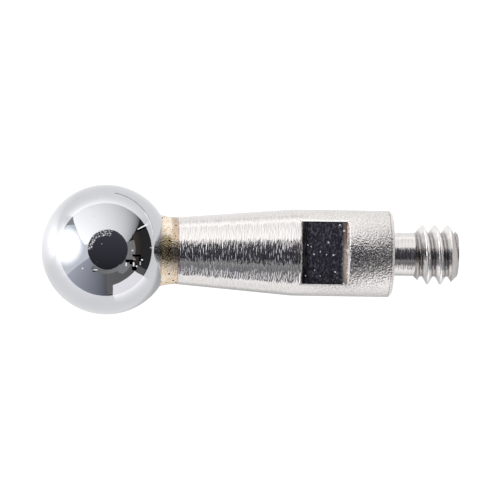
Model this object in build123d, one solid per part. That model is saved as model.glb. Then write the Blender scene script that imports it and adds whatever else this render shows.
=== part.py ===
from build123d import *

import os
from math import asin, atan, degrees, hypot, sqrt

# Ball-ended measuring tip for a lever-type test indicator.
#
# Three pieces: a polished contact ball, a turned stem with a tapered neck, two
# spanner flats and a screw shank, and the brazing metal that holds the ball in a
# shallow cup on the stem's end. The shank stands for its M1.4 thread: it has the
# crests' diameter and the bevelled ends, and the turns are not cut in it.
#
# The tip is drawn along its own axis first: +X runs from the ball's centre to
# the threaded end, and the spanner flats face +Z and -Z. It is then laid on a
# flat surface the way it rests there, on the ball and on the rear rim of its
# body, so its axis slopes down a little towards the thread. In that frame +Z is
# up, the surface is z = 0, and the origin is under the middle of the length.

# Driving dimensions, in millimetres. Stations are measured along the axis from the ball's centre.
BALL_DIAMETER = 3.0

BODY_DIAMETER = 2.0
FRONT_DIAMETER = 1.5
TAPER_END = 4.3
SEAT_STATION = 6.6
BODY_EDGE_CHAMFER = 0.05

FLATS_START = 4.45
FLATS_LENGTH = 1.1
ACROSS_FLATS = 1.36
FLATS_CORNER_RADIUS = 0.05

NECK_DIAMETER = 1.0
NECK_LENGTH = 0.53
NECK_CORNER_RADIUS = 0.05

THREAD_MAJOR_DIAMETER = 1.38
THREAD_LENGTH = 1.01

BRAZE_GAP = 0.04
BRAZE_BALL_STATION = 1.25
BRAZE_STEM_STATION = 1.47
BRAZE_FILLET_SAG = 0.012

# Sizes that follow from the driving ones.
BALL_RADIUS = BALL_DIAMETER / 2
BODY_RADIUS = BODY_DIAMETER / 2
FRONT_RADIUS = FRONT_DIAMETER / 2
NECK_RADIUS = NECK_DIAMETER / 2
THREAD_RADIUS = THREAD_MAJOR_DIAMETER / 2
CUP_RADIUS = BALL_RADIUS + BRAZE_GAP
FRONT_STATION = sqrt(CUP_RADIUS**2 - FRONT_RADIUS**2)
THREAD_START = SEAT_STATION + NECK_LENGTH
TIP_END = THREAD_START + THREAD_LENGTH
THREAD_BEVEL = THREAD_RADIUS - NECK_RADIUS
RIM_STATION = SEAT_STATION - BODY_EDGE_CHAMFER


def taper_radius(station):
    """Radius of the tapered neck at a station."""
    share = (station - FRONT_STATION) / (TAPER_END - FRONT_STATION)
    return FRONT_RADIUS + share * (BODY_RADIUS - FRONT_RADIUS)


def turned(outline):
    """Solid turned about the tip's axis from a closed outline above it."""
    return revolve(make_face(outline), Axis.X)


def sphere_arc(radius, from_station, to_station):
    """Arc of a sphere's section, centred on the ball, between two stations."""
    middle = (from_station + to_station) / 2

    def on_sphere(station):
        return (station, sqrt(max(0.0, radius**2 - station**2)))

    return ThreePointArc(on_sphere(from_station), on_sphere(middle), on_sphere(to_station))


def contact_ball():
    """The ball that touches the work."""
    return Sphere(BALL_RADIUS)


def braze_joint():
    """Film of brazing metal under the ball, with the fillet that it leaves round the joint."""
    ball_edge = (BRAZE_BALL_STATION, sqrt(BALL_RADIUS**2 - BRAZE_BALL_STATION**2))
    stem_edge = (BRAZE_STEM_STATION, taper_radius(BRAZE_STEM_STATION))
    fillet_middle = (
        (ball_edge[0] + stem_edge[0]) / 2,
        (ball_edge[1] + stem_edge[1]) / 2 - BRAZE_FILLET_SAG,
    )
    outline = [
        sphere_arc(BALL_RADIUS, BALL_RADIUS, BRAZE_BALL_STATION),
        ThreePointArc(ball_edge, fillet_middle, stem_edge),
        Line(stem_edge, (FRONT_STATION, FRONT_RADIUS)),
        sphere_arc(CUP_RADIUS, FRONT_STATION, CUP_RADIUS),
        Line((CUP_RADIUS, 0), (BALL_RADIUS, 0)),
    ]
    return turned(outline)


def stem_blank():
    """The stem as it leaves the lathe, from the ball's cup to the bevelled end of the screw shank."""
    corners = [
        (FRONT_STATION, FRONT_RADIUS),
        (TAPER_END, BODY_RADIUS),
        (RIM_STATION, BODY_RADIUS),
        (SEAT_STATION, BODY_RADIUS - BODY_EDGE_CHAMFER),
        (SEAT_STATION, NECK_RADIUS + NECK_CORNER_RADIUS),
    ]
    neck_and_shank = [
        (SEAT_STATION + NECK_CORNER_RADIUS, NECK_RADIUS),
        (THREAD_START, NECK_RADIUS),
        (THREAD_START + THREAD_BEVEL, THREAD_RADIUS),
        (TIP_END - THREAD_BEVEL, THREAD_RADIUS),
        (TIP_END, NECK_RADIUS),
        (TIP_END, 0),
        (CUP_RADIUS, 0),
    ]
    outline = [
        sphere_arc(CUP_RADIUS, CUP_RADIUS, FRONT_STATION),
        Polyline(*corners),
        RadiusArc(corners[-1], neck_and_shank[0], NECK_CORNER_RADIUS),
        Polyline(*neck_and_shank),
    ]
    return turned(outline)


def spanner_flats():
    """The two pieces that the cutter takes out to leave the spanner flats."""
    depth = BODY_RADIUS
    flats_middle = FLATS_START + FLATS_LENGTH / 2
    cutter = Pos(flats_middle, 0, ACROSS_FLATS / 2) * Box(
        FLATS_LENGTH, 2 * BODY_DIAMETER, depth, align=(Align.CENTER, Align.CENTER, Align.MIN)
    )
    corners = cutter.edges().filter_by(Axis.Y).group_by(Axis.Z)[0]
    upper = fillet(corners, FLATS_CORNER_RADIUS)
    return upper + mirror(upper, Plane.XY)


def threaded_stem():
    """Turned stem with its spanner flats milled."""
    return stem_blank() - spanner_flats()


def rest_tilt():
    """Angle, in degrees, between the axis and the surface when the ball and the rear rim both touch it."""
    reach = hypot(RIM_STATION, BODY_RADIUS)
    return degrees(asin(BALL_RADIUS / reach) - atan(BODY_RADIUS / RIM_STATION))


def main():
    pieces = {
        "contact_ball": contact_ball(),
        "braze_joint": braze_joint(),
        "threaded_stem": threaded_stem(),
    }
    laid = {name: Pos(0, 0, BALL_RADIUS) * Rot(0, rest_tilt(), 0) * piece for name, piece in pieces.items()}
    boxes = [piece.bounding_box() for piece in laid.values()]
    middle = (min(box.min.X for box in boxes) + max(box.max.X for box in boxes)) / 2
    os.makedirs("parts", exist_ok=True)
    for name, piece in laid.items():
        export_step(Pos(-middle, 0, 0) * piece, f"parts/{name}.step")
    print(f"rest tilt {rest_tilt():.3f} degrees, ball centre at x = {-middle:.4f} mm")


main()
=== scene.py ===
"""Studio picture of a ball-ended measuring tip, seen from straight above.

The three CAD pieces are finished here: the polished contact ball, the golden
braze round its joint, and the turned stem with its spanner flats and thread.
Each is turned again about the tip's own axis with far finer facets. Shapes are
made in millimetres along that axis, from the ball's centre, and then laid in
the frame's place.
"""

from math import asin, atan, atan2, cos, degrees, hypot, pi, radians, sin, sqrt, tan

import bmesh
import bpy
from mathutils import Euler, Matrix, Vector

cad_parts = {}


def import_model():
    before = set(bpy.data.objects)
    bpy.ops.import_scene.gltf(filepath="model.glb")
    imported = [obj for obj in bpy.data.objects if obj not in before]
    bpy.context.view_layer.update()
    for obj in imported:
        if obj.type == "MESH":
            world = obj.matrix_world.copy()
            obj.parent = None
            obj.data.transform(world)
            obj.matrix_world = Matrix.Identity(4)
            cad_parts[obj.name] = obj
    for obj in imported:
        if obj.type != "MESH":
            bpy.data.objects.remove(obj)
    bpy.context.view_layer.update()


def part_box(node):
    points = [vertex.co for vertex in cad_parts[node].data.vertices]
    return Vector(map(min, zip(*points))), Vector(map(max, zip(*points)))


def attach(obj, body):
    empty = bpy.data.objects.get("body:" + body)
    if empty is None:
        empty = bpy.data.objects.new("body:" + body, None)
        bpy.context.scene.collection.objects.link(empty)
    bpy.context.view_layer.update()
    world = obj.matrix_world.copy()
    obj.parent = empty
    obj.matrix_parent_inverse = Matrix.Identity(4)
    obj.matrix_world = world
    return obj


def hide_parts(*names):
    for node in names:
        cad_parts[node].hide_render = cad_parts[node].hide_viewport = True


MM = 0.001

# The tip, in millimetres. Stations run along its axis from the ball's centre.
BALL_RADIUS = 1.5
BODY_RADIUS = 1.0
FRONT_RADIUS = 0.75
CUP_RADIUS = 1.54
TAPER_END = 4.3
SEAT_STATION = 6.6
RIM_CHAMFER = 0.05
NECK_RADIUS = 0.5
NECK_CORNER_RADIUS = 0.05

FLATS_START = 4.45
FLATS_LENGTH = 1.1
FLATS_HEIGHT = 0.68
FLATS_CORNER_RADIUS = 0.05
FLATS_EDGE_BREAK = 0.022

THREAD_START = 7.13
TIP_END = 8.14
THREAD_RADIUS = 0.69
THREAD_PITCH = 0.3
THREAD_CREST_STATION = 7.31

# The braze: where it ends on the ball and on the stem, how hollow and how thick at its end it is, and
# how far it reaches into the ball and the cup so that no gap shows. The heat line on the stem follows it.
BRAZE_BALL_STATION = 1.25
BRAZE_STEM_STATION = 1.62
BRAZE_SAG = 0.017
BRAZE_END_THICKNESS = 0.003
BRAZE_OVERLAP = 0.002
HEAT_TINT_END = 1.655

# Sizes that follow. The thread has the standard depth for its pitch.
FLATS_END = FLATS_START + FLATS_LENGTH
THREAD_DEPTH = 0.6134 * THREAD_PITCH
FLANK_ANGLE = radians(30)
CREST_ROUND = THREAD_PITCH / 16 / tan(FLANK_ANGLE)
ROOT_ROUND = (THREAD_PITCH * 7 / 16 - THREAD_DEPTH * tan(FLANK_ANGLE)) / tan(FLANK_ANGLE)
FRONT_STATION = sqrt(CUP_RADIUS**2 - FRONT_RADIUS**2)
RIM_STATION = SEAT_STATION - RIM_CHAMFER
REST_TILT = asin(BALL_RADIUS / hypot(RIM_STATION, BODY_RADIUS)) - atan(BODY_RADIUS / RIM_STATION)

# The photograph: its scale and the camera's height over the ball's centre.
PIXELS_PER_MM = 43.33
PICTURE_SIDE = 500
CAMERA_HEIGHT = 110
PICTURE_TURN = radians(0.91)
BALL_PIXEL = (106.2, 249.5)

# How finely the shapes are cut.
TURNED_FACETS = 288
THREAD_FACETS = 144
CORE_FACETS = 48
BALL_POINTS = 145
CUP_POINTS = 24
FILLET_STEPS = 12
SMOOTH_UP_TO = radians(28)


# Turned shapes


def arc(centre, radius, first, last, points):
    """Points of an arc in the plane of station and radius. Angles are in degrees from the axis."""
    angles = [radians(first + (last - first) * i / (points - 1)) for i in range(points)]
    return [(centre[0] + radius * cos(a), centre[1] + radius * sin(a)) for a in angles]


def turned(outline, facets=TURNED_FACETS, lead=0.0):
    """Bmesh spun about the tip's axis. With a lead, each turn moves on along the axis by it."""
    bm = bmesh.new()
    row = [bm.verts.new((station, 0, radius)) for station, radius in outline]
    edges = [bm.edges.new(pair) for pair in zip(row, row[1:])]
    bmesh.ops.spin(
        bm,
        geom=row + edges,
        cent=(0, 0, 0),
        axis=(1, 0, 0),
        dvec=Vector((lead / facets, 0, 0)),
        angle=2 * pi,
        steps=facets,
        use_merge=not lead,
    )
    bmesh.ops.remove_doubles(bm, verts=bm.verts, dist=1e-5)
    bmesh.ops.holes_fill(bm, edges=[e for e in bm.edges if e.is_boundary], sides=0)
    bmesh.ops.recalc_face_normals(bm, faces=bm.faces)
    return bm


def as_object(name, bm):
    """Object made from a bmesh, which is used up."""
    mesh = bpy.data.meshes.new(name)
    bm.to_mesh(mesh)
    bm.free()
    made = bpy.data.objects.new(name, mesh)
    bpy.context.scene.collection.objects.link(made)
    return made


def combined(base, operation, tool):
    """The base piece after a boolean with the tool, which is used up."""
    cut = base.modifiers.new("cut", "BOOLEAN")
    cut.operation = operation
    cut.solver = "MANIFOLD"
    cut.object = tool
    finished = bpy.data.meshes.new_from_object(base.evaluated_get(bpy.context.evaluated_depsgraph_get()))
    base.modifiers.remove(cut)
    base.data = finished
    bpy.data.objects.remove(tool)
    return base


def laid_in_frame(piece, ball_centre):
    """Takes a finished shape from millimetres along the tip's axis to its place in the frame."""
    bm = bmesh.new()
    bm.from_mesh(piece.data)
    bmesh.ops.transform(bm, matrix=Matrix.Scale(MM, 4), verts=bm.verts)
    bmesh.ops.transform(bm, matrix=Matrix.Rotation(REST_TILT, 4, "Y"), verts=bm.verts)
    bmesh.ops.translate(bm, vec=ball_centre, verts=bm.verts)
    for face in bm.faces:
        face.smooth = True
    for edge in bm.edges:
        edge.smooth = edge.calc_face_angle(0) < SMOOTH_UP_TO
    bm.to_mesh(piece.data)
    bm.free()
    return piece


# The pieces


def contact_ball():
    """The ball, turned about the tip's axis so that its poles hide at the braze and the tip."""
    outline = arc((0, 0), BALL_RADIUS, 180, 0, BALL_POINTS)
    outline[0] = (-BALL_RADIUS, 0)
    outline[-1] = (BALL_RADIUS, 0)
    return as_object("polished_contact_ball", turned(outline))


def taper_radius(station):
    """Radius of the tapered neck at a station."""
    share = (station - FRONT_STATION) / (TAPER_END - FRONT_STATION)
    return FRONT_RADIUS + share * (BODY_RADIUS - FRONT_RADIUS)


def braze_ring():
    """Film of braze under the ball and the hollow fillet that runs out thin on the taper."""
    ball_edge = (BRAZE_BALL_STATION, sqrt(BALL_RADIUS**2 - BRAZE_BALL_STATION**2))
    stem_edge = (BRAZE_STEM_STATION, taper_radius(BRAZE_STEM_STATION) + BRAZE_END_THICKNESS)
    fillet = []
    for i in range(1, FILLET_STEPS):
        t = i / FILLET_STEPS
        station = ball_edge[0] + t * (stem_edge[0] - ball_edge[0])
        radius = ball_edge[1] + t * (stem_edge[1] - ball_edge[1]) - 4 * BRAZE_SAG * t * (1 - t)
        fillet.append((station, radius))

    # The end turns in under the taper, and both arcs stop just short of the edges that they run to.
    sunk_station = BRAZE_STEM_STATION - 0.02
    sunk = (sunk_station, taper_radius(sunk_station) - 0.004)
    ball_arc_end, cup_arc_end = 33, 28.9
    inner = arc((0, 0), BALL_RADIUS - BRAZE_OVERLAP, 0, ball_arc_end, CUP_POINTS)
    inner[0] = (BALL_RADIUS - BRAZE_OVERLAP, 0)
    film = arc((0, 0), CUP_RADIUS + BRAZE_OVERLAP, cup_arc_end, 0, CUP_POINTS)
    film[-1] = (CUP_RADIUS + BRAZE_OVERLAP, 0)
    outline = inner + [ball_edge] + fillet + [stem_edge, sunk] + film
    return as_object("golden_braze_ring", turned(outline))


def stem_blank():
    """Body and neck of the stem, up to where the neck runs into the thread."""
    cup = arc((0, 0), CUP_RADIUS, 0, degrees(asin(FRONT_RADIUS / CUP_RADIUS)), CUP_POINTS)
    cup[0] = (CUP_RADIUS, 0)

    # The corner at the taper's end and the rim are both broken a little. The rings beside the flats
    # keep the long facets of the body short there.
    taper_corner = [(TAPER_END - 0.06, BODY_RADIUS - 0.005058), (TAPER_END + 0.02, BODY_RADIUS)]
    ring_gap = 0.03
    ring_stations = (FLATS_START - ring_gap, FLATS_END + ring_gap, FLATS_END + 2 * ring_gap)
    rings = [(station, BODY_RADIUS) for station in ring_stations]
    rim = [
        (RIM_STATION - 0.012, BODY_RADIUS),
        (RIM_STATION + 0.004, BODY_RADIUS - 0.008),
        (SEAT_STATION, BODY_RADIUS - RIM_CHAMFER),
    ]
    neck_corner = (SEAT_STATION + NECK_CORNER_RADIUS, NECK_RADIUS + NECK_CORNER_RADIUS)
    neck_end = THREAD_START + 0.1
    outline = cup + taper_corner + rings + rim
    outline += arc(neck_corner, NECK_CORNER_RADIUS, 180, 270, 8)
    outline += [(neck_end, NECK_RADIUS), (neck_end, 0)]
    return as_object("turned_threaded_stem", turned(outline))


def flats_cutter(side):
    """Block with rounded lower corners that mills one spanner flat: side 1 above the axis, -1 below it."""
    width, height = 3, 1
    bm = bmesh.new()
    bmesh.ops.create_cube(bm, size=1)
    bmesh.ops.scale(bm, vec=(FLATS_LENGTH, width, height), verts=bm.verts)
    floor = [e for e in bm.edges if all(v.co.z < 0 for v in e.verts) and e.verts[0].co.x == e.verts[1].co.x]
    bmesh.ops.bevel(
        bm, geom=floor, offset=FLATS_CORNER_RADIUS, affect="EDGES", segments=14, profile=0.5, material=-1
    )
    middle = Vector((FLATS_START + FLATS_LENGTH / 2, 0, side * (FLATS_HEIGHT + height / 2)))
    if side < 0:
        bmesh.ops.rotate(bm, matrix=Matrix.Rotation(pi, 3, "X"), verts=bm.verts)
    bmesh.ops.translate(bm, vec=middle, verts=bm.verts)
    return as_object("flats_cutter", bm)


def thread_form(crest_station):
    """Outline of one pitch of thread, from its rounded crest down to the rounded root."""
    crest_centre = (crest_station, THREAD_RADIUS - CREST_ROUND)
    root_centre = (crest_station + THREAD_PITCH / 2, THREAD_RADIUS - THREAD_DEPTH + ROOT_ROUND)
    return arc(crest_centre, CREST_ROUND, 150, 30, 6) + arc(root_centre, ROOT_ROUND, 210, 330, 6)


def screw_thread():
    """Right-hand thread: turns spun as a screw round a core, then bevelled at both ends."""
    turns = 6
    turns_before_crest = 2.75
    bore_radius, core_radius = 0.2, 0.3
    first_crest = THREAD_CREST_STATION - turns_before_crest * THREAD_PITCH
    outline = [point for turn in range(turns) for point in thread_form(first_crest + turn * THREAD_PITCH)]
    start, radius = outline[0]
    bore = [(start + turn * THREAD_PITCH, bore_radius) for turn in range(turns, -1, -1)]
    outline += [(start + turns * THREAD_PITCH, radius)] + bore + [(start, radius)]
    screw = as_object("screw", turned(outline, THREAD_FACETS, THREAD_PITCH))

    core_start, core_end = start - 0.2, TIP_END + 0.7
    core = [(core_start, 0), (core_start, core_radius), (core_end, core_radius), (core_end, 0)]

    # The bevels start at the neck's radius and run out past the crests. The first starts inside the neck.
    bevel = THREAD_RADIUS + 0.05 - NECK_RADIUS
    inset = 0.02
    bevels = [
        (THREAD_START - inset, 0),
        (THREAD_START - inset, NECK_RADIUS - inset),
        (THREAD_START + bevel, NECK_RADIUS + bevel),
        (TIP_END - bevel, NECK_RADIUS + bevel),
        (TIP_END, NECK_RADIUS),
        (TIP_END, 0),
    ]
    combined(screw, "UNION", as_object("screw_core", turned(core, CORE_FACETS)))
    return combined(screw, "INTERSECT", as_object("thread_bevels", turned(bevels, THREAD_FACETS)))


def with_broken_edges(stem):
    """The stem with the sharp edges round its spanner flats bevelled a little."""
    margin = 0.01
    sharp_from = radians(30)
    bm = bmesh.new()
    bm.from_mesh(stem.data)

    def at_flats(edge):
        first, last, height = FLATS_START - margin, FLATS_END + margin, FLATS_HEIGHT - margin
        return all(first < v.co.x < last and abs(v.co.z) > height for v in edge.verts)

    sharp = [e for e in bm.edges if e.calc_face_angle(0) > sharp_from and at_flats(e)]
    bmesh.ops.bevel(
        bm, geom=sharp, offset=FLATS_EDGE_BREAK, affect="EDGES", segments=2, profile=0.5, material=-1
    )
    bm.to_mesh(stem.data)
    bm.free()
    return stem


def threaded_stem():
    """The whole stem: blank, spanner flats and thread."""
    stem = stem_blank()
    for side in (1, -1):
        combined(stem, "DIFFERENCE", flats_cutter(side))
    return with_broken_edges(combined(stem, "UNION", screw_thread()))


# Node trees


class Nodes:
    """A node tree, with short calls for the nodes that the finishes and the studio share."""

    def __init__(self, tree):
        self.tree = tree

    def add(self, kind, **settings):
        node = self.tree.nodes.new(kind)
        for key, value in settings.items():
            setattr(node, key, value)
        return node

    def feed(self, socket, value):
        """Gives an input a colour, a number or the output of another node."""
        if isinstance(value, tuple):
            socket.default_value = (*value, 1.0)
        elif isinstance(value, (int, float)):
            socket.default_value = value
        else:
            self.tree.links.new(value, socket)

    def math(self, operation, *values):
        node = self.add("ShaderNodeMath", operation=operation)
        for socket, value in zip(node.inputs, values):
            self.feed(socket, value)
        return node.outputs[0]

    def product(self, first, *others):
        """Product of two or more values."""
        for value in others:
            first = self.math("MULTIPLY", first, value)
        return first

    def apart(self, value, middle):
        """How far the value is from the middle, on either side."""
        return self.math("ABSOLUTE", self.math("SUBTRACT", value, middle))

    def inside(self, value, low, high):
        """One where the value lies between low and high, and nought elsewhere."""
        return self.product(self.math("GREATER_THAN", value, low), self.math("LESS_THAN", value, high))

    def length(self, vector):
        node = self.add("ShaderNodeVectorMath", operation="LENGTH")
        self.feed(node.inputs[0], vector)
        return node.outputs["Value"]

    def ramp(self, value, low, high, start=0.0, end=1.0, interpolation="SMOOTHSTEP"):
        """Value carried from start to end as the input goes from low to high."""
        node = self.add("ShaderNodeMapRange", interpolation_type=interpolation)
        for key, number in (("From Min", low), ("From Max", high), ("To Min", start), ("To Max", end)):
            node.inputs[key].default_value = number
        self.feed(node.inputs["Value"], value)
        return node.outputs["Result"]

    def mixed(self, share, first, second):
        """Blend of two colours, or of two values given as sockets or numbers."""
        colours = isinstance(second, tuple) or getattr(first, "type", "") == "RGBA"
        node = self.add("ShaderNodeMix", data_type="RGBA" if colours else "FLOAT")
        ends = (0, 6, 7) if colours else (0, 2, 3)
        for index, value in zip(ends, (share, first, second)):
            self.feed(node.inputs[index], value)
        return node.outputs[2] if colours else node.outputs[0]

    def over_clear(self, share, surface):
        """The surface where the share is one, and nothing where it is nought."""
        clear = self.add("ShaderNodeBsdfTransparent")
        blend = self.add("ShaderNodeMixShader")
        for socket, value in zip(blend.inputs, (share, clear.outputs[0], surface)):
            self.feed(socket, value)
        return blend.outputs[0]


# Finishes


class Finish(Nodes):
    """A metal surface, drawn in millimetres along the tip's axis, across it and in height."""

    def __init__(self, name, ball_centre):
        self.material = bpy.data.materials.new(name)
        self.material.use_nodes = True
        super().__init__(self.material.node_tree)
        self.shader = self.tree.nodes["Principled BSDF"]
        self.shader.inputs["Metallic"].default_value = 1.0
        place = self.add("ShaderNodeTexCoord")
        along = self.add("ShaderNodeMapping", vector_type="TEXTURE")
        along.inputs["Location"].default_value = ball_centre
        along.inputs["Rotation"].default_value = (0, REST_TILT, 0)
        along.inputs["Scale"].default_value = (MM, MM, MM)
        self.feed(along.inputs["Vector"], place.outputs["Object"])
        self.along_axis = along.outputs["Vector"]
        split = self.add("ShaderNodeSeparateXYZ")
        self.feed(split.inputs[0], self.along_axis)
        self.station, self.side, self.height = split.outputs

    def noise(self, grains, detail=2.0, roughness=0.5):
        """Noise with this many grains per millimetre along the axis, across it and in height."""
        scaled = self.add("ShaderNodeMapping")
        scaled.inputs["Scale"].default_value = grains
        self.feed(scaled.inputs["Vector"], self.along_axis)
        node = self.add("ShaderNodeTexNoise")
        node.inputs["Scale"].default_value = 1.0
        node.inputs["Detail"].default_value = detail
        node.inputs["Roughness"].default_value = roughness
        self.feed(node.inputs["Vector"], scaled.outputs[0])
        return node.outputs[0]

    def dots(self, cells, size):
        """Scattered round dots: this many cells per millimetre, each dot this share of a cell in radius."""
        node = self.add("ShaderNodeTexVoronoi", feature="F1", distance="EUCLIDEAN")
        node.inputs["Scale"].default_value = cells
        self.feed(node.inputs["Vector"], self.along_axis)
        return self.math("LESS_THAN", node.outputs["Distance"], size)

    def bump(self, height, depth):
        """Bump whose full height is this many millimetres."""
        node = self.add("ShaderNodeBump")
        node.inputs["Strength"].default_value = 1.0
        node.inputs["Distance"].default_value = depth * MM
        self.feed(node.inputs["Height"], height)
        self.feed(self.shader.inputs["Normal"], node.outputs[0])

    def put(self, socket, value):
        self.feed(self.shader.inputs[socket], value)


def polished_finish(ball_centre):
    """Lapped hard steel: close to a mirror, with a breath of haze and a few fine specks."""
    dark_steel, light_steel, speck_steel = (0.55, 0.56, 0.59), (0.62, 0.62, 0.64), (0.30, 0.30, 0.33)
    f = Finish("lapped_ball_steel", ball_centre)
    haze = f.noise((1.6, 1.6, 1.6), 3.0)
    specks = f.dots(4.0, 0.05)
    f.put("Base Color", f.mixed(specks, f.mixed(haze, dark_steel, light_steel), speck_steel))
    f.put("Roughness", f.mixed(specks, f.ramp(haze, 0.3, 0.7, 0.012, 0.035), 0.35))
    f.bump(f.noise((5, 5, 5), 4.0), 0.0006)
    return f.material


class StemSurfaces:
    """The stem's surfaces, each as a value from nought to one, and the marks that they share."""

    def __init__(self, f):
        self.marks = f.noise((36, 5, 5), 1.0, 0.6)
        self.grain = f.noise((20, 20, 20), 1.0, 0.65)
        self.patches = f.noise((21, 12, 12), 3.0, 0.7)
        self.frosting = f.ramp(f.noise((23, 23, 23), 1.0, 0.6), 0.52, 0.6)

        # Tool marks run round the taper and the neck. On the body they turn into grain.
        self.body = f.ramp(f.station, FLATS_START - 0.15, FLATS_START + 0.5)
        self.neck = f.ramp(f.station, SEAT_STATION - 0.01, SEAT_STATION)
        self.thread = f.ramp(f.station, THREAD_START - 0.01, THREAD_START + 0.01)
        self.texture = f.mixed(f.product(self.body, 0.9), self.marks, self.grain)
        self.texture = f.mixed(self.neck, self.texture, self.marks)

        # The milled flats, the curved corner at their rear end, and the cutter's run-out before it.
        plane_tolerance = 0.0015
        self.off_axis = f.math("ABSOLUTE", f.side)
        above_flat = f.math("SUBTRACT", f.math("ABSOLUTE", f.height), FLATS_HEIGHT)
        on_plane = f.math("LESS_THAN", f.math("ABSOLUTE", above_flat), plane_tolerance)
        self.flat = f.product(on_plane, f.inside(f.station, FLATS_START + 0.01, FLATS_END - 0.01))
        self.run_out = f.ramp(f.station, FLATS_END - 0.21, FLATS_END - 0.05)
        self.dust = f.dots(6.4, 0.14)
        at_corner = f.inside(f.station, FLATS_END - 0.06, FLATS_END - 0.004)
        self.corner = f.product(at_corner, f.math("GREATER_THAN", above_flat, -plane_tolerance))

        # The broken edge round the flats, whitened in colour as a painted highlight.
        reach_out, reach_in, reach_down, half_width = 0.016, 0.008, 0.026, 0.70
        before_start = f.math("LESS_THAN", f.station, FLATS_START + reach_in)
        past_end = f.math("GREATER_THAN", f.station, FLATS_END - reach_in)
        past_sides = f.math("GREATER_THAN", self.off_axis, half_width)
        beside = f.math("MAXIMUM", f.math("MAXIMUM", before_start, past_end), past_sides)
        near = f.inside(f.station, FLATS_START - reach_out, FLATS_END + reach_out)
        near = f.product(near, f.math("GREATER_THAN", above_flat, -reach_down))
        self.painted_edge_highlight = f.product(near, beside, f.math("SUBTRACT", 1.0, on_plane))

        # The chamfer on the body's rear rim, and a thin brown line just before it.
        before_seat = f.math("LESS_THAN", f.station, SEAT_STATION - 0.004)
        self.chamfer = f.product(f.ramp(f.station, RIM_STATION - 0.012, RIM_STATION), before_seat)
        self.rim_line = f.ramp(f.apart(f.station, RIM_STATION - 0.03), 0.006, 0.018, 0.7, 0.0)


def thread_colour(f):
    """Grey painted shade in the roots, a bright painted highlight on the crests, and darker painted shade
    over the bevel at the end.
    """
    root_painted_shade, crest_painted_highlight, end_painted_shade = (0.42, 0.40, 0.39), (0.84, 0.82, 0.81), (0.38, 0.35, 0.34)
    squares = f.math("ADD", f.product(f.side, f.side), f.product(f.height, f.height))
    # Painted shade darkens the roots, and a painted highlight lightens the crests.
    from_root = f.ramp(f.math("SQRT", squares), NECK_RADIUS + 0.01, NECK_RADIUS + 0.1)
    # Painted shade darkens the bevel at the end.
    at_end = f.ramp(f.station, TIP_END - 0.2, TIP_END - 0.17, 0.0, 0.75)
    return f.mixed(at_end, f.mixed(from_root, root_painted_shade, crest_painted_highlight), end_painted_shade)


def flat_colour(f, surfaces):
    """Spanner flat: blotched steel, burnished at its front, brown at the run-out, with dark painted shade
    along its sides.
    """
    dark_blotch, white = (0.30, 0.295, 0.34), (1.0, 1.0, 1.0)
    dark_streak, light_streak = (0.04, 0.035, 0.03), (0.42, 0.37, 0.32)
    pale_brown, deep_brown, side_painted_shade = (0.74, 0.64, 0.56), (0.27, 0.20, 0.17), (0.04, 0.03, 0.03)
    colour = f.mixed(f.ramp(surfaces.patches, 0.42, 0.66), dark_blotch, white)
    burnished = f.ramp(f.station, FLATS_START + 0.12, FLATS_START + 0.24, 0.85, 0.0)
    streaks = f.mixed(f.ramp(surfaces.marks, 0.45, 0.65), dark_streak, light_streak)
    colour = f.mixed(burnished, colour, streaks)
    colour = f.mixed(surfaces.run_out, colour, f.mixed(f.ramp(f.side, -0.25, 0.55), pale_brown, deep_brown))
    # Painted shade: a dark line along each side of the flat.
    colour = f.mixed(f.ramp(surfaces.off_axis, 0.69, 0.705, 0.0, 0.85), colour, side_painted_shade)
    return f.mixed(surfaces.dust, colour, white)


def stem_colour(f, surfaces):
    """Colour of the whole stem, with the brown heat line by the braze."""
    dull_steel, bright_steel = (0.69, 0.67, 0.655), (0.77, 0.745, 0.725)
    heat_brown, rim_brown, corner_brown = (0.46, 0.30, 0.22), (0.42, 0.32, 0.28), (0.40, 0.31, 0.25)
    chamfer_highlight_white, edge_highlight_white = (1.0, 0.985, 0.97), (1.0, 0.98, 0.965)
    steel = f.mixed(f.ramp(surfaces.texture, 0.35, 0.65), dull_steel, bright_steel)
    steel = f.mixed(surfaces.thread, steel, thread_colour(f))
    steel = f.mixed(f.ramp(f.station, HEAT_TINT_END - 0.02, HEAT_TINT_END, 0.8, 0.0), steel, heat_brown)
    steel = f.mixed(surfaces.rim_line, steel, rim_brown)
    # Painted highlight: the rim's chamfer is coloured near white.
    steel = f.mixed(surfaces.chamfer, steel, chamfer_highlight_white)
    steel = f.mixed(f.product(surfaces.corner, 0.9), steel, corner_brown)
    steel = f.mixed(surfaces.flat, steel, flat_colour(f, surfaces))
    # Painted highlight: the broken edge round the flats is coloured near white.
    return f.mixed(surfaces.painted_edge_highlight, steel, edge_highlight_white)


def stem_roughness(f, surfaces):
    """Roughness of the whole stem."""
    frosted = f.product(surfaces.frosting, surfaces.body)
    roughness = f.mixed(frosted, f.ramp(surfaces.texture, 0.38, 0.67, 0.07, 0.17), 0.42)
    roughness = f.mixed(surfaces.chamfer, roughness, 0.72)
    roughness = f.mixed(surfaces.neck, roughness, f.ramp(surfaces.marks, 0.36, 0.66, 0.1, 0.3))
    on_flat = f.mixed(surfaces.run_out, f.ramp(surfaces.patches, 0.4, 0.7, 0.05, 0.26), 0.6)
    roughness = f.mixed(surfaces.flat, roughness, f.mixed(surfaces.dust, on_flat, 0.9))
    return f.mixed(surfaces.painted_edge_highlight, roughness, f.ramp(f.side, -0.3, 0.3, 0.8, 0.2))


def stem_relief(f, surfaces):
    """Height of the tool marks and the grain: more on the body, little on the flats."""
    relief = f.ramp(f.station, FLATS_START - 0.1, FLATS_START + 0.5, 3.5, 5.4)
    relief = f.product(surfaces.texture, relief)
    relief = f.mixed(surfaces.neck, relief, f.product(surfaces.marks, 1.5))
    return f.mixed(surfaces.flat, relief, f.product(surfaces.grain, 0.15))


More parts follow.
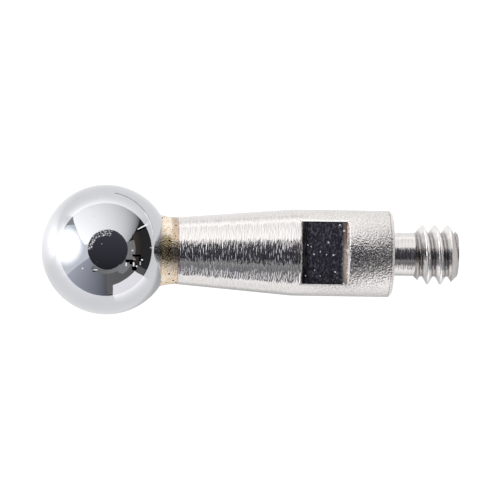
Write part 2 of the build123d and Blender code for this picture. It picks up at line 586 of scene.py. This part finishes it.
def turned_finish(ball_centre):
    """Fine turned steel with tool marks round it, milled flats, and a brown heat line by the braze."""
    f = Finish("turned_stem_steel", ball_centre)
    surfaces = StemSurfaces(f)
    f.put("Base Color", stem_colour(f, surfaces))
    f.put("Roughness", stem_roughness(f, surfaces))
    f.bump(stem_relief(f, surfaces), 0.0042)
    return f.material


def braze_finish(ball_centre):
    """Pale gold brazing metal with brown painted shade along its top, black flux specks and fine bright pits.
    """
    deep_gold, pale_gold, shade_brown = (0.84, 0.66, 0.46), (0.97, 0.88, 0.75), (0.22, 0.16, 0.06)
    light_tan, painted_shade_tan, flux_black = (0.92, 0.76, 0.60), (0.52, 0.40, 0.31), (0.03, 0.02, 0.01)
    f = Finish("golden_braze_metal", ball_centre)
    lumps = f.noise((9, 9, 9), 3.0, 0.6)
    pits = f.noise((26, 26, 26), 1.0, 0.6)
    flux = f.math("MAXIMUM", f.ramp(f.noise((17, 17, 17), 2.0, 0.6), 0.65, 0.68), f.dots(6.5, 0.16))

    # The thin end of the braze on the taper is tan, with painted shade making it darker on the far side.
    colour = f.mixed(f.ramp(lumps, 0.35, 0.62), deep_gold, pale_gold)
    thin_end = f.mixed(f.ramp(f.side, 0.0, 0.5), light_tan, painted_shade_tan)
    colour = f.mixed(f.ramp(f.station, 1.44, 1.54, 0.0, 0.9), colour, thin_end)
    # Painted shade: a dark brown band along the top, which faces the dark lens, broken by the pits.
    top_band_shade = f.ramp(f.apart(f.side, 0.04), 0.22, 0.40, 0.9, 0.0)
    top_band_shade = f.product(top_band_shade, f.ramp(pits, 0.4, 0.8, 1.0, 0.2), f.ramp(f.station, 1.42, 1.52, 1.0, 0.35))
    colour = f.mixed(top_band_shade, colour, shade_brown)
    f.put("Base Color", f.mixed(flux, colour, flux_black))
    roughness = f.math("ADD", f.ramp(lumps, 0.3, 0.7, 0.1, 0.26), f.ramp(f.side, -0.32, -0.2, 0.3, 0.0))
    f.put("Roughness", f.mixed(flux, roughness, 0.6))
    f.bump(f.mixed(0.5, lumps, pits), 0.02)
    return f.material


# The studio

WHITE = (1.0, 1.0, 1.0)
COOL_WHITE = (0.90, 0.94, 1.0)
BLUE_WHITE = (0.84, 0.88, 1.0)
WARM_GREY = (0.9, 0.72, 0.62)
ROSE_WHITE = (1.0, 0.98, 1.0)
LENS_BLUE = (0.80, 0.78, 1.0)
EVEN = (1.0, 1.0)

# Small fittings beside the lens, placed by where the ball mirrors them: pixels of the photograph to the
# right of and above the ball's centre, width and height in pixels, and glow.
SMALL_FITTINGS = (
    (30.5, -5.6, 8.5, 2.3, 0.0),
    (21.2, -11.0, 4.2, 3.0, 0.0),
    (25.8, -12.0, 5.0, 5.0, 0.0),
    (28.3, -17.5, 5.0, 6.0, 0.0),
    (35.0, -10.0, 4.5, 5.0, 0.0),
    (33.4, -37.1, 1.6, 1.6, 0.02),
    (-10.7, -21.4, 4.5, 1.2, 0.02),
    (20.0, -14.4, 1.4, 3.6, 1.3),
    (27.5, -14.4, 1.5, 4.0, 1.3),
    (34.2, -13.4, 1.2, 3.5, 0.8),
    (35.9, -10.0, 1.8, 1.6, 1.3),
    (26.3, -0.5, 1.7, 1.7, 1.1),
    (30.5, -16.3, 1.5, 1.5, 1.3),
    (28.2, -9.5, 2.6, 1.5, 0.45),
    (45.5, 2.5, 3.5, 0.9, 0.9),
    (-9.8, -19.9, 4.5, 1.1, 1.2),
    (-22.7, -18.6, 1.4, 1.4, 1.3),
)


def direction(tilt, azimuth):
    """Unit vector at a tilt from straight up and an azimuth from +X, both in degrees."""
    t, a = radians(tilt), radians(azimuth)
    return Vector((sin(t) * cos(a), sin(t) * sin(a), cos(t)))


def mirrored_at(right, up):
    """Tilt and azimuth of what the ball mirrors this many pixels right of and above its centre."""
    return 2 * degrees(asin(hypot(right, up) / (BALL_RADIUS * PIXELS_PER_MM))), degrees(atan2(up, right))


def sheen(nodes, box, glow):
    """Strength that changes evenly from the low to the high side of a card's box, in X, Y and Z."""
    split = nodes.add("ShaderNodeSeparateXYZ")
    nodes.feed(split.inputs[0], box)
    strengths = []
    for share, (low, high) in zip(split.outputs, glow):
        strengths.append(nodes.math("MULTIPLY_ADD", share, high - low, low))
    return nodes.product(*strengths)


def feathered(nodes, box, surface, solid_share):
    """The card's surface, solid inside this share of its half width and clear at its edge."""
    centred = nodes.add("ShaderNodeVectorMath", operation="MULTIPLY_ADD")
    nodes.feed(centred.inputs[0], box)
    centred.inputs[1].default_value = (0, 2, 2)
    centred.inputs[2].default_value = (0, -1, -1)
    return nodes.over_clear(nodes.ramp(nodes.length(centred.outputs[0]), solid_share, 1.0, 1.0, 0.0), surface)


def speckled(nodes, place, surface):
    """The card's surface broken into fine bright specks."""
    noise = nodes.add("ShaderNodeTexNoise")
    noise.inputs["Scale"].default_value = 210
    noise.inputs["Detail"].default_value = 1.0
    nodes.feed(noise.inputs["Vector"], place)
    return nodes.over_clear(nodes.ramp(noise.outputs[0], 0.52, 0.62, interpolation="LINEAR"), surface)


def card(name, corners, distance, colour, x=EVEN, y=EVEN, z=EVEN, solid_share=None, specks=False):
    """Flat glowing card, this many millimetres from the ball. Only reflections see it.

    Its corners are given as tilt and azimuth, seen from the ball. Each of x, y and z is a pair of
    strengths, for the low and the high side of the card's own box.
    """
    rays = [direction(*corner) for corner in corners]
    facing = sum(rays, Vector()).normalized()
    bm = bmesh.new()
    bm.faces.new([bm.verts.new(ray * (distance * MM / ray.dot(facing))) for ray in rays])
    panel = as_object(name, bm)
    material = bpy.data.materials.new(name)
    material.use_nodes = True
    nodes = Nodes(material.node_tree)
    nodes.tree.nodes.clear()
    place = nodes.add("ShaderNodeTexCoord")
    emission = nodes.add("ShaderNodeEmission")
    nodes.feed(emission.inputs["Color"], colour)
    nodes.feed(emission.inputs["Strength"], sheen(nodes, place.outputs["Generated"], (x, y, z)))
    surface = emission.outputs[0]
    if solid_share is not None:
        surface = feathered(nodes, place.outputs["Generated"], surface, solid_share)
    if specks:
        surface = speckled(nodes, place.outputs["Object"], surface)
    nodes.feed(nodes.add("ShaderNodeOutputMaterial").inputs["Surface"], surface)
    panel.data.materials.append(material)
    panel.visible_camera = False


def band(inner, outer, first, last):
    """Corners of a stretch of ring between two tilts, from one azimuth to another."""
    azimuths = [first + (last - first) * i / 16 for i in range(17)]
    return [(inner, azimuth) for azimuth in azimuths] + [(outer, azimuth) for azimuth in reversed(azimuths)]


def softboxes_and_walls():
    """The large cards round the tip."""
    back = [(92, 136), (70, 144), (38, 168), (40, 17), (92, 44)]
    card("back_softbox", back, 200, WHITE, x=(1.9, 0.04), z=(0.8, 1.2))
    left = [(92, 216), (30, 216), (30, 165), (68, 143), (85, 140.5), (88, 150), (92, 160)]
    card("left_wall", left, 250, COOL_WHITE, x=(0.95, 0.95))
    joint = [(91, 160), (60, 160), (60, 130), (91, 130)]
    card("wall_joint", joint, 270, COOL_WHITE, x=(0.42, 0.42))
    side = [(108, 202), (42, 214), (42, 146), (108, 150)]
    card("side_softbox", side, 190, WHITE, x=(3.2, 3.2), solid_share=0.16)
    lower_left = [(92, 272), (30, 272), (30, 206), (92, 214)]
    card("lower_left_wall", lower_left, 240, BLUE_WHITE, x=(0.92, 0.17), z=(0.8, 1.0))
    front = [(88, 334), (30, 334), (30, 264), (88, 264)]
    card("front_wall", front, 260, WHITE, x=(0.2, 0.13))


def screens_and_strips():
    """The grey screen, the shelf, the light along the lens' rim, and the strip light with a black card of
    painted shade round it.
    """
    card("grey_screen", band(33, 54, -60, 20), 230, WHITE, x=(0.34, 0.28))
    card("brown_shelf", band(54, 67, -22, 30), 235, WARM_GREY, x=(0.1, 0.04))
    card("lens_rim_light", band(36, 43, 232, 314), 140, WHITE, x=(0.22, 0.34))
    strip = [(70, 33), (96, 32), (96, 34), (70, 34.5)]
    card("strip_light", strip, 170, WHITE, x=(1.5, 1.5))
    # Painted shade: a black card a little larger than the strip light, just behind it.
    shade_outline = [(68, 30.5), (92, 30), (92, 35.5), (68, 36.5)]
    card("strip_shade_card", shade_outline, 172, WHITE, x=(0.0, 0.0))


def small_fittings():
    """The small fittings beside the lens, the glowing ones in front of the dark ones."""
    dark_distance, bright_distance, dark_up_to = 150, 145, 0.1
    sides = ((-0.5, -0.5), (0.5, -0.5), (0.5, 0.5), (-0.5, 0.5))
    for right, up, width, height, glow in SMALL_FITTINGS:
        corners = [mirrored_at(right + x * width, up + y * height) for x, y in sides]
        distance = dark_distance if glow < dark_up_to else bright_distance
        card("small_fitting", corners, distance, WHITE, x=(glow, glow))


def white_card_and_lens():
    """The white card, and the dark front of the lens straight above with dust and a glint on it."""
    white_card = [(92, 325), (67, 323.5), (67, 281), (92, 278)]
    card("white_card", white_card, 180, ROSE_WHITE, x=(1.24, 1.24))
    rim = [(35.3 + 3.5 * cos(radians(azimuth)), azimuth) for azimuth in range(0, 360, 10)]
    card("lens_front", rim, 135, LENS_BLUE, y=(0.03, 0.10))
    card("lens_dust", band(24, 35, 72, 180), 132, WHITE, x=(1.3, 1.3), specks=True)
    glint = [(12.2 + 0.7 * sin(radians(a)), 127 + 3.5 * cos(radians(a))) for a in range(0, 360, 60)]
    card("lens_glint", glint, 130, WHITE, x=(1.8, 1.8))


def mirrored_edge(ball_centre):
    """Dark edge of a sheet lying beyond the tip, with its bright side, which only reflections show."""
    end, lift = 17, 0.05
    for name, near, far, start, strength in (
        ("sheet_edge", 4.56, 4.78, 0.6, 0.05),
        ("sheet_side", 4.84, 5.3, 5.0, 1.7),
    ):
        bm = bmesh.new()
        corners = [(start, near), (end, near), (end, far), (start, far)]
        bm.faces.new([bm.verts.new((ball_centre.x + x * MM, y * MM, lift * MM)) for x, y in corners])
        strip = as_object(name, bm)
        material = bpy.data.materials.new(name)
        material.use_nodes = True
        shader = material.node_tree.nodes["Principled BSDF"]
        shader.inputs["Base Color"].default_value = (0, 0, 0, 1)
        shader.inputs["Emission Color"].default_value = (1, 1, 1, 1)
        shader.inputs["Emission Strength"].default_value = strength
        strip.data.materials.append(material)
        strip.visible_camera = False


def table_glow(nodes):
    """How bright the tip mirrors the table."""
    place = nodes.add("ShaderNodeTexCoord").outputs["Object"]
    glow = 0.89

    # The tip's shade along its near side, and the bright pool that the side softbox leaves beyond the ball:
    # the middle and the reach in millimetres, the share of the reach that is even, and the change of glow.
    for middle, reach, inner, change in (
        ((0.4, -0.9, 0), (7.0, 1.9, 1), 0.35, -0.42),
        ((-13.5, 1.0, 0), (10.5, 3.2, 1), 0.2, 1.0),
    ):
        spot = nodes.add("ShaderNodeMapping", vector_type="TEXTURE")
        spot.inputs["Location"].default_value = Vector(middle) * MM
        spot.inputs["Scale"].default_value = Vector(reach) * MM
        nodes.feed(spot.inputs["Vector"], place)
        glow = nodes.math("ADD", nodes.ramp(nodes.length(spot.outputs[0]), inner, 1.0, change, 0.0), glow)
    return glow


def pale_table():
    """Glossy pale table, pure white to the camera and dimmer in what mirrors it."""
    seen_glow = 1.02
    half_side = 0.6
    bm = bmesh.new()
    bmesh.ops.create_grid(bm, x_segments=1, y_segments=1, size=half_side)
    table = as_object("pale_table", bm)
    material = bpy.data.materials.new("pale_table")
    material.use_nodes = True
    nodes = Nodes(material.node_tree)
    shader = nodes.tree.nodes["Principled BSDF"]
    shader.inputs["Base Color"].default_value = (0.2, 0.2, 0.2, 1)
    shader.inputs["Roughness"].default_value = 0.2
    shader.inputs["Specular IOR Level"].default_value = 0.08
    shader.inputs["Emission Color"].default_value = (1.0, 1.0, 1.0, 1)
    seen = nodes.add("ShaderNodeLightPath").outputs["Is Camera Ray"]
    nodes.feed(shader.inputs["Emission Strength"], nodes.mixed(seen, table_glow(nodes), seen_glow))
    table.data.materials.append(material)


def studio_air():
    """Pure white behind everything for the camera, and a dim room for all else."""
    room_glow, seen_glow = 0.035, 1.05
    world = bpy.data.worlds.new("studio_air")
    world.use_nodes = True
    nodes = Nodes(world.node_tree)
    background = nodes.tree.nodes["Background"]
    background.inputs["Color"].default_value = (1, 1, 1, 1)
    seen = nodes.add("ShaderNodeLightPath").outputs["Is Camera Ray"]
    nodes.feed(background.inputs["Strength"], nodes.ramp(seen, 0.0, 1.0, room_glow, seen_glow))
    bpy.context.scene.world = world
    bpy.context.scene.view_settings.view_transform = "Standard"


def overhead_camera(ball_centre):
    """Long lens straight above, turned and placed so that the ball lies on its pixel of the photograph."""
    camera = bpy.data.objects.new("camera", bpy.data.cameras.new("camera"))
    bpy.context.scene.collection.objects.link(camera)
    right = (PICTURE_SIDE / 2 - BALL_PIXEL[0]) / PIXELS_PER_MM
    down = (PICTURE_SIDE / 2 - BALL_PIXEL[1]) / PIXELS_PER_MM
    to_middle = Matrix.Rotation(PICTURE_TURN, 3, "Z") @ Vector((right, -down, CAMERA_HEIGHT))
    camera.location = ball_centre + to_middle * MM
    camera.rotation_euler = Euler((0, 0, PICTURE_TURN))
    camera.data.sensor_width = 36
    camera.data.lens = camera.data.sensor_width * CAMERA_HEIGHT * PIXELS_PER_MM / PICTURE_SIDE
    camera.data.clip_start = 0.01
    camera.data.clip_end = 10
    bpy.context.scene.camera = camera


def main():
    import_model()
    low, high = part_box("contact_ball")
    ball_centre = Vector(((low.x + high.x) / 2, 0, BALL_RADIUS * MM))

    for piece, node, slot, finish in (
        (contact_ball(), "contact_ball", "polished_ball", polished_finish),
        (braze_ring(), "braze_joint", "braze", braze_finish),
        (threaded_stem(), "threaded_stem", "turned_steel", turned_finish),
    ):
        laid_in_frame(piece, ball_centre)
        piece.data.materials.clear()
        piece.data.materials.append(finish(ball_centre))
        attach(piece, "root")
        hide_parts(node)

    softboxes_and_walls()
    screens_and_strips()
    small_fittings()
    white_card_and_lens()
    mirrored_edge(ball_centre)
    pale_table()
    studio_air()
    overhead_camera(ball_centre)


main()
